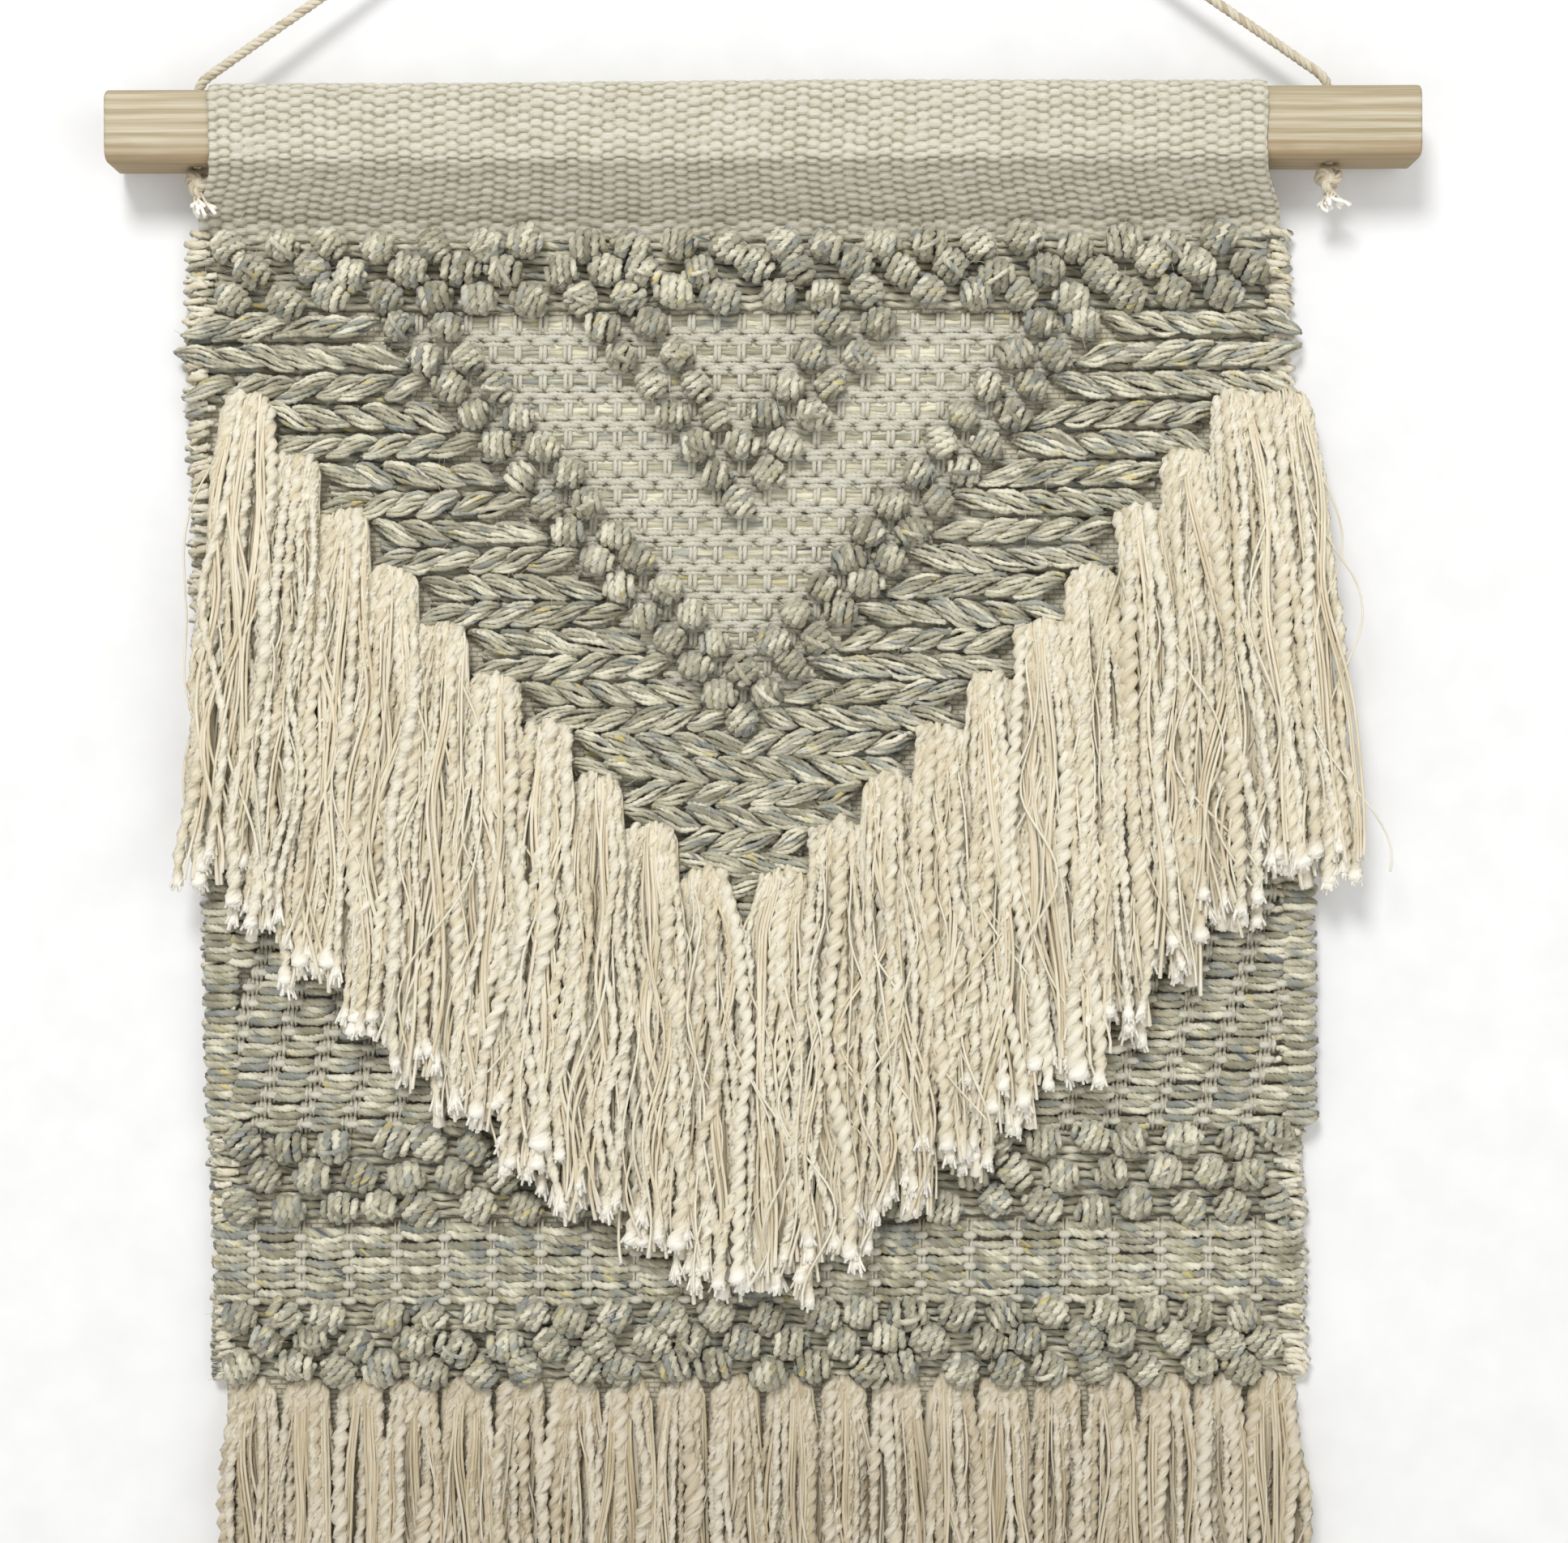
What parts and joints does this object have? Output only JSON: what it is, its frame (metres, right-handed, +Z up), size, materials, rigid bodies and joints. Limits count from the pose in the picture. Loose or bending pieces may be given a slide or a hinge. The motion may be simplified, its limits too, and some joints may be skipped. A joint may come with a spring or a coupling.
{
  "type": "tapestry wall hanging",
  "caption": "Woven wall tapestry in a sleeve on a square wooden bar and cord, with wool loops in V shapes, braided rows, a V of cotton tassels and a bottom fringe.",
  "frame": {"origin": "underside of the cord's apex, where the wall nail bears, above the middle of the bar", "axes": "+Z up, +X to the viewer's right along the bar, -Y out of the wall towards the viewer"},
  "size_m": [0.45, 0.0304, 0.7385],
  "materials": {
    "pine": "planed and sanded, unvarnished",
    "cotton_cloth": "thick plain weave, undyed",
    "cotton_cord": "laid cotton cord",
    "wool": "loosely spun heathered wool",
    "cotton_fringe": "slub cotton yarn, cut ends"
  },
  "bodies": {
    "bar": {"wooden_bar": "pine", "hanging_cord": "cotton_cord", "left_knot": "cotton_cord", "right_knot": "cotton_cord"},
    "sleeve": {"rod_pocket": "cotton_cloth"},
    "panel": {"ground_cloth": "cotton_cloth", "top_loop_band": "wool", "small_chevron_left": "wool", "small_chevron_right": "wool", "outer_chevron_left": "wool", "outer_chevron_right": "wool", "inner_chevron_left": "wool", "inner_chevron_right": "wool", "left_braid_1": "wool", "right_braid_1": "wool", "left_braid_2": "wool", "right_braid_2": "wool", "left_braid_3": "wool", "right_braid_3": "wool", "left_braid_4": "wool", "right_braid_4": "wool", "left_braid_5": "wool", "right_braid_5": "wool", "left_braid_6": "wool", "right_braid_6": "wool", "left_braid_7": "wool", "right_braid_7": "wool", "centre_braid_1": "wool", "centre_braid_2": "wool", "centre_braid_3": "wool", "centre_braid_4": "wool", "wool_weave": "wool", "middle_loop_band": "wool", "ribbed_band": "wool", "lower_loop_band": "wool"},
    "left_tassel_1": {"left_tassel_1": "cotton_fringe"},
    "left_tassel_2": {"left_tassel_2": "cotton_fringe"},
    "left_tassel_3": {"left_tassel_3": "cotton_fringe"},
    "left_tassel_4": {"left_tassel_4": "cotton_fringe"},
    "left_tassel_5": {"left_tassel_5": "cotton_fringe"},
    "left_tassel_6": {"left_tassel_6": "cotton_fringe"},
    "left_tassel_7": {"left_tassel_7": "cotton_fringe"},
    "left_tassel_8": {"left_tassel_8": "cotton_fringe"},
    "left_tassel_9": {"left_tassel_9": "cotton_fringe"},
    "left_tassel_10": {"left_tassel_10": "cotton_fringe"},
    "right_tassel_1": {"right_tassel_1": "cotton_fringe"},
    "right_tassel_2": {"right_tassel_2": "cotton_fringe"},
    "right_tassel_3": {"right_tassel_3": "cotton_fringe"},
    "right_tassel_4": {"right_tassel_4": "cotton_fringe"},
    "right_tassel_5": {"right_tassel_5": "cotton_fringe"},
    "right_tassel_6": {"right_tassel_6": "cotton_fringe"},
    "right_tassel_7": {"right_tassel_7": "cotton_fringe"},
    "right_tassel_8": {"right_tassel_8": "cotton_fringe"},
    "right_tassel_9": {"right_tassel_9": "cotton_fringe"},
    "right_tassel_10": {"right_tassel_10": "cotton_fringe"},
    "right_edge_tassel": {"right_edge_tassel": "cotton_fringe"},
    "bottom_fringe": {"bottom_fringe_1": "cotton_fringe", "bottom_fringe_2": "cotton_fringe", "bottom_fringe_3": "cotton_fringe", "bottom_fringe_4": "cotton_fringe"}
  },
  "joints": [
    {"name": "sleeve_slide", "type": "slide", "parent": "bar", "child": "sleeve", "axis": [1, 0, 0], "range_m": [0, 0.014]},
    {"name": "panel_swing", "type": "hinge", "parent": "sleeve", "child": "panel", "pos_m": [-0.008, 0.004, -0.183], "axis": [-1, 0, 0], "range_deg": [0, 35]},
    {"name": "left_tassel_1_swing", "type": "hinge", "parent": "panel", "child": "left_tassel_1", "pos_m": [-0.179, -0.0086, -0.24469], "axis": [-1, 0, 0], "range_deg": [0, 60]},
    {"name": "left_tassel_2_swing", "type": "hinge", "parent": "panel", "child": "left_tassel_2", "pos_m": [-0.1614, -0.0086, -0.26513], "axis": [-1, 0, 0], "range_deg": [0, 60]},
    {"name": "left_tassel_3_swing", "type": "hinge", "parent": "panel", "child": "left_tassel_3", "pos_m": [-0.1438, -0.0086, -0.28504], "axis": [-1, 0, 0], "range_deg": [0, 60]},
    {"name": "left_tassel_4_swing", "type": "hinge", "parent": "panel", "child": "left_tassel_4", "pos_m": [-0.1262, -0.0086, -0.30443], "axis": [-1, 0, 0], "range_deg": [0, 60]},
    {"name": "left_tassel_5_swing", "type": "hinge", "parent": "panel", "child": "left_tassel_5", "pos_m": [-0.1086, -0.0086, -0.32329], "axis": [-1, 0, 0], "range_deg": [0, 60]},
    {"name": "left_tassel_6_swing", "type": "hinge", "parent": "panel", "child": "left_tassel_6", "pos_m": [-0.091, -0.0086, -0.34162], "axis": [-1, 0, 0], "range_deg": [0, 60]},
    {"name": "left_tassel_7_swing", "type": "hinge", "parent": "panel", "child": "left_tassel_7", "pos_m": [-0.0734, -0.0086, -0.35943], "axis": [-1, 0, 0], "range_deg": [0, 60]},
    {"name": "left_tassel_8_swing", "type": "hinge", "parent": "panel", "child": "left_tassel_8", "pos_m": [-0.0558, -0.0086, -0.37671], "axis": [-1, 0, 0], "range_deg": [0, 60]},
    {"name": "left_tassel_9_swing", "type": "hinge", "parent": "panel", "child": "left_tassel_9", "pos_m": [-0.0382, -0.0086, -0.39346], "axis": [-1, 0, 0], "range_deg": [0, 60]},
    {"name": "left_tassel_10_swing", "type": "hinge", "parent": "panel", "child": "left_tassel_10", "pos_m": [-0.0206, -0.0086, -0.40969], "axis": [-1, 0, 0], "range_deg": [0, 60]},
    {"name": "right_tassel_1_swing", "type": "hinge", "parent": "panel", "child": "right_tassel_1", "pos_m": [0.163, -0.0086, -0.24469], "axis": [-1, 0, 0], "range_deg": [0, 60]},
    {"name": "right_tassel_2_swing", "type": "hinge", "parent": "panel", "child": "right_tassel_2", "pos_m": [0.1454, -0.0086, -0.26513], "axis": [-1, 0, 0], "range_deg": [0, 60]},
    {"name": "right_tassel_3_swing", "type": "hinge", "parent": "panel", "child": "right_tassel_3", "pos_m": [0.1278, -0.0086, -0.28504], "axis": [-1, 0, 0], "range_deg": [0, 60]},
    {"name": "right_tassel_4_swing", "type": "hinge", "parent": "panel", "child": "right_tassel_4", "pos_m": [0.1102, -0.0086, -0.30443], "axis": [-1, 0, 0], "range_deg": [0, 60]},
    {"name": "right_tassel_5_swing", "type": "hinge", "parent": "panel", "child": "right_tassel_5", "pos_m": [0.0926, -0.0086, -0.32329], "axis": [-1, 0, 0], "range_deg": [0, 60]},
    {"name": "right_tassel_6_swing", "type": "hinge", "parent": "panel", "child": "right_tassel_6", "pos_m": [0.075, -0.0086, -0.34162], "axis": [-1, 0, 0], "range_deg": [0, 60]},
    {"name": "right_tassel_7_swing", "type": "hinge", "parent": "panel", "child": "right_tassel_7", "pos_m": [0.0574, -0.0086, -0.35943], "axis": [-1, 0, 0], "range_deg": [0, 60]},
    {"name": "right_tassel_8_swing", "type": "hinge", "parent": "panel", "child": "right_tassel_8", "pos_m": [0.0398, -0.0086, -0.37671], "axis": [-1, 0, 0], "range_deg": [0, 60]},
    {"name": "right_tassel_9_swing", "type": "hinge", "parent": "panel", "child": "right_tassel_9", "pos_m": [0.0222, -0.0086, -0.39346], "axis": [-1, 0, 0], "range_deg": [0, 60]},
    {"name": "right_tassel_10_swing", "type": "hinge", "parent": "panel", "child": "right_tassel_10", "pos_m": [0.0046, -0.0086, -0.40969], "axis": [-1, 0, 0], "range_deg": [0, 60]},
    {"name": "right_edge_tassel_swing", "type": "hinge", "parent": "panel", "child": "right_edge_tassel", "pos_m": [0.1806, -0.0086, -0.24469], "axis": [-1, 0, 0], "range_deg": [0, 60]},
    {"name": "bottom_fringe_swing", "type": "hinge", "parent": "panel", "child": "bottom_fringe", "pos_m": [-0.0022, 0, -0.5853], "axis": [-1, 0, 0], "range_deg": [0, 40]}
  ],
  "couplings": [
    {"joint": "left_tassel_2_swing", "follows": "left_tassel_1_swing", "ratio": 1},
    {"joint": "left_tassel_3_swing", "follows": "left_tassel_1_swing", "ratio": 1},
    {"joint": "left_tassel_4_swing", "follows": "left_tassel_1_swing", "ratio": 1},
    {"joint": "left_tassel_5_swing", "follows": "left_tassel_1_swing", "ratio": 1},
    {"joint": "left_tassel_6_swing", "follows": "left_tassel_1_swing", "ratio": 1},
    {"joint": "left_tassel_7_swing", "follows": "left_tassel_1_swing", "ratio": 1},
    {"joint": "left_tassel_8_swing", "follows": "left_tassel_1_swing", "ratio": 1},
    {"joint": "left_tassel_9_swing", "follows": "left_tassel_1_swing", "ratio": 1},
    {"joint": "left_tassel_10_swing", "follows": "left_tassel_1_swing", "ratio": 1},
    {"joint": "right_tassel_2_swing", "follows": "right_tassel_1_swing", "ratio": 1},
    {"joint": "right_tassel_3_swing", "follows": "right_tassel_1_swing", "ratio": 1},
    {"joint": "right_tassel_4_swing", "follows": "right_tassel_1_swing", "ratio": 1},
    {"joint": "right_tassel_5_swing", "follows": "right_tassel_1_swing", "ratio": 1},
    {"joint": "right_tassel_6_swing", "follows": "right_tassel_1_swing", "ratio": 1},
    {"joint": "right_tassel_7_swing", "follows": "right_tassel_1_swing", "ratio": 1},
    {"joint": "right_tassel_8_swing", "follows": "right_tassel_1_swing", "ratio": 1},
    {"joint": "right_tassel_9_swing", "follows": "right_tassel_1_swing", "ratio": 1},
    {"joint": "right_tassel_10_swing", "follows": "right_tassel_1_swing", "ratio": 1},
    {"joint": "right_edge_tassel_swing", "follows": "right_tassel_1_swing", "ratio": 1}
  ]
}
